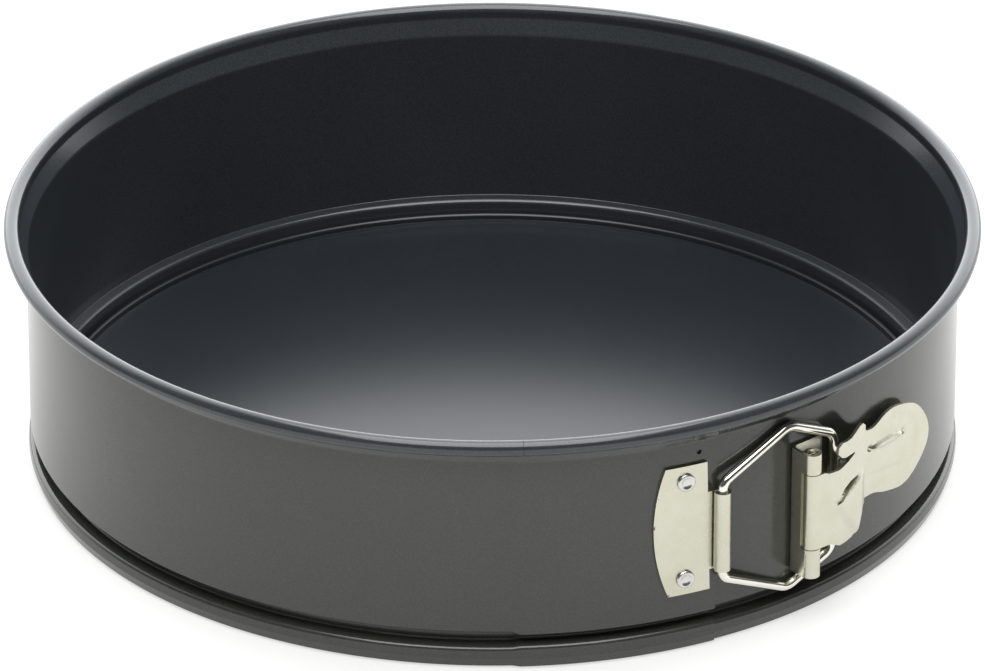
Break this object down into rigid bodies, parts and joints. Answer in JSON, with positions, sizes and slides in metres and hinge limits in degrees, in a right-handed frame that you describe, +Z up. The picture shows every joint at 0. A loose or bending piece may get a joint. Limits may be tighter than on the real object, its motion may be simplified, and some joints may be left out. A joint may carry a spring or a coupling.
{
  "type": "springform cake pan",
  "caption": "Round baking pan with a separate flat base and a side ring that springs open when its over-centre lever clasp is swung out.",
  "frame": {"origin": "on the resting plane, under the middle of the base", "axes": "+Z up through the open top, -Y towards the clasp, +X to the right seen from the clasp side"},
  "size_m": [0.2736, 0.2763, 0.0717],
  "materials": {
    "base_coating": "semi-gloss dark grey non-stick coating",
    "ring_coating": "semi-gloss dark grey non-stick coating",
    "plated_steel": "bright plated sheet, slightly warm",
    "plated_wire": "bright plated wire",
    "rivet_metal": "satin"
  },
  "bodies": {
    "base": {"base_plate": "base_coating"},
    "right_band": {"band_right": "ring_coating", "lever_bracket": "plated_steel", "bracket_rivet_lower": "rivet_metal", "bracket_rivet_upper": "rivet_metal", "hinge_pin": "plated_wire"},
    "left_band": {"band_left": "ring_coating", "catch_plate": "plated_steel", "catch_rivet_lower": "rivet_metal", "catch_rivet_upper": "rivet_metal"},
    "bail": {"bail": "plated_wire"},
    "lever": {"lever": "plated_steel"}
  },
  "joints": [
    {"name": "band_lift", "type": "slide", "parent": "base", "child": "right_band", "axis": [0, 0, 1], "range_m": [0, 0.09]},
    {"name": "band_opening", "type": "hinge", "parent": "right_band", "child": "left_band", "pos_m": [0, 0.1368, 0.0356], "axis": [0, 0, -1], "range_deg": [0, 1.6]},
    {"name": "lever_swing", "type": "hinge", "parent": "right_band", "child": "lever", "pos_m": [0.0121, -0.13697, 0.0356], "axis": [0, 0, -1], "range_deg": [0, 120]},
    {"name": "bail_swing", "type": "hinge", "parent": "left_band", "child": "bail", "pos_m": [-0.01467, -0.13289, 0.0356], "axis": [0, 0, -1], "range_deg": [0, 27.42]}
  ],
  "couplings": [
    {"joint": "band_opening", "follows": "lever_swing", "ratio": 0.01334},
    {"joint": "bail_swing", "follows": "lever_swing", "ratio": 0.22843}
  ]
}
